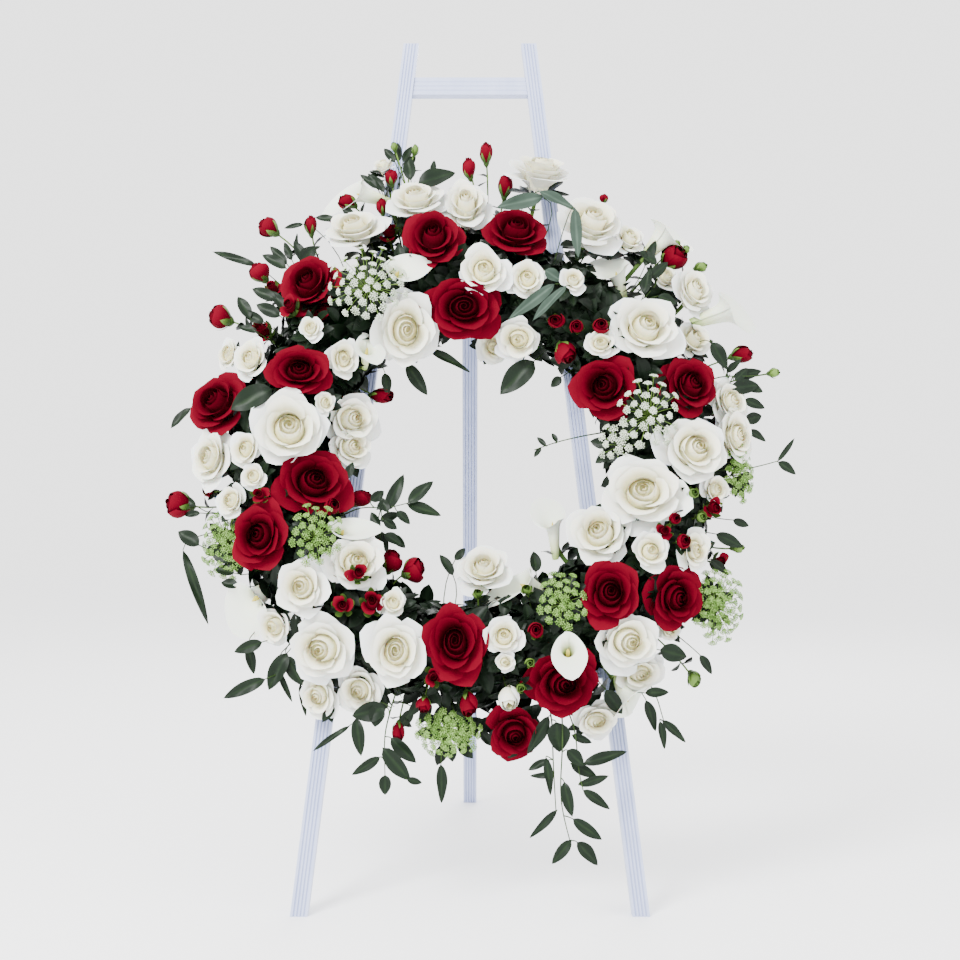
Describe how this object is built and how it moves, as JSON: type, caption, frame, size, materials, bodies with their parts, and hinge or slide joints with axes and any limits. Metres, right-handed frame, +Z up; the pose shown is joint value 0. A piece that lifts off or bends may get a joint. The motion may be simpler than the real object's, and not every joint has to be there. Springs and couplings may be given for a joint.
{
  "type": "standing wreath",
  "caption": "Ring of roses, callas, small blossoms and foliage set in a foam ring and tray, hung on a white fluted A-frame easel with a folding rear leg",
  "frame": {"origin": "middle of the bounding box in plan, on the floor", "axes": "+Z up, -Y the side with the flowers, +X to the right of a viewer who faces them"},
  "size_m": [0.9182, 0.8322, 1.3026],
  "materials": {
    "white_paint": "satin white paint on wood",
    "zinc_steel": "dull zinc plate",
    "floral_foam": "soft dark green foam",
    "green_plastic": "dark green moulded tray",
    "foliage": "dark leaves, stems and lace, satin",
    "red_petals": "velvety deep red petals",
    "white_petals": "soft white petals with ivory centres"
  },
  "bodies": {
    "stand": {"front_leg_left": "white_paint", "front_leg_right": "white_paint", "top_rail": "white_paint", "hinge_rail": "white_paint", "lower_rail": "white_paint", "hinge_leaf_rail": "zinc_steel", "wreath_bracket": "zinc_steel", "foam_tray": "green_plastic", "foam_ring": "floral_foam", "calla_01": "white_petals", "calla_02": "white_petals", "calla_03": "white_petals", "calla_04": "white_petals", "calla_05": "white_petals", "white_rose_01": "white_petals", "white_rose_02": "white_petals", "white_rose_03": "white_petals", "white_rose_04": "white_petals", "white_rose_05": "white_petals", "white_rose_06": "white_petals", "white_rose_07": "white_petals", "white_rose_08": "white_petals", "white_rose_09": "white_petals", "white_rose_10": "white_petals", "white_rose_11": "white_petals", "white_rose_12": "white_petals", "white_rose_13": "white_petals", "white_rose_14": "white_petals", "white_rose_15": "white_petals", "white_rose_16": "white_petals", "white_rose_17": "white_petals", "white_rose_18": "white_petals", "white_rose_19": "white_petals", "white_rose_20": "white_petals", "white_rose_21": "white_petals", "red_rose_01": "red_petals", "red_rose_02": "red_petals", "red_rose_03": "red_petals", "red_rose_04": "red_petals", "red_rose_05": "red_petals", "red_rose_06": "red_petals", "red_rose_07": "red_petals", "red_rose_08": "red_petals", "red_rose_09": "red_petals", "red_rose_10": "red_petals", "red_rose_11": "red_petals", "red_rose_12": "red_petals", "red_rose_13": "red_petals", "red_rose_14": "red_petals", "red_rose_15": "red_petals", "greenery_01": "foliage", "greenery_02": "foliage", "greenery_03": "foliage", "greenery_04": "foliage", "greenery_05": "foliage", "greenery_06": "foliage", "greenery_07": "foliage", "greenery_08": "foliage"},
    "rear_support": {"rear_leg": "white_paint", "hinge_leaf_leg": "zinc_steel"}
  },
  "joints": [
    {"name": "rear_leg_hinge", "type": "hinge", "parent": "stand", "child": "rear_support", "pos_m": [-0.01456, -0.10047, 0.8809], "axis": [1, 0, 0], "range_deg": [-42, 0]}
  ]
}
